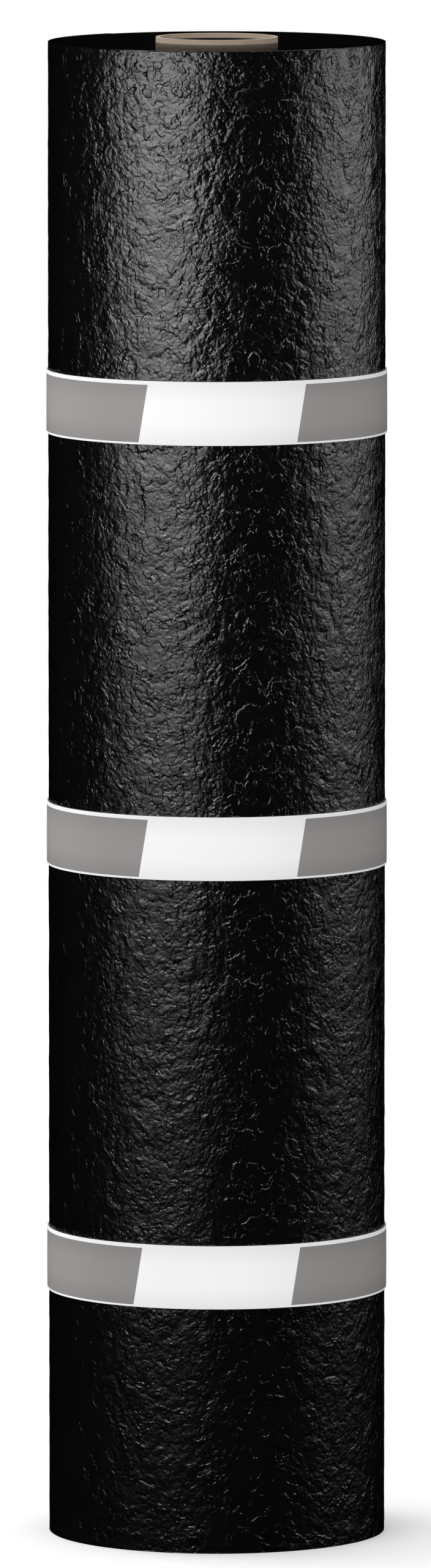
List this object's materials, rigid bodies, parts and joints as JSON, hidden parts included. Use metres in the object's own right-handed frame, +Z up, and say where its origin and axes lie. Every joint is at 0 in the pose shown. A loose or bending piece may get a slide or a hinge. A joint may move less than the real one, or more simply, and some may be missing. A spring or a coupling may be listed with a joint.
{
  "type": "roll of roofing felt",
  "caption": "Black bitumen roofing felt wound on a cardboard core tube, standing on end and held shut by paper bands.",
  "frame": {"origin": "middle of the lower end of the roll, on the surface that it stands on", "axes": "+Z up along the roll's axis, front of the printed bands towards -Y"},
  "size_m": [0.2274, 0.2274, 1.003],
  "materials": {
    "felt": "gloss",
    "cardboard": "matte",
    "band_paper": "satin"
  },
  "bodies": {
    "root": {"felt_roll": "felt", "core_tube": "cardboard", "band_lower": "band_paper", "band_middle": "band_paper", "band_upper": "band_paper"}
  },
  "joints": []
}
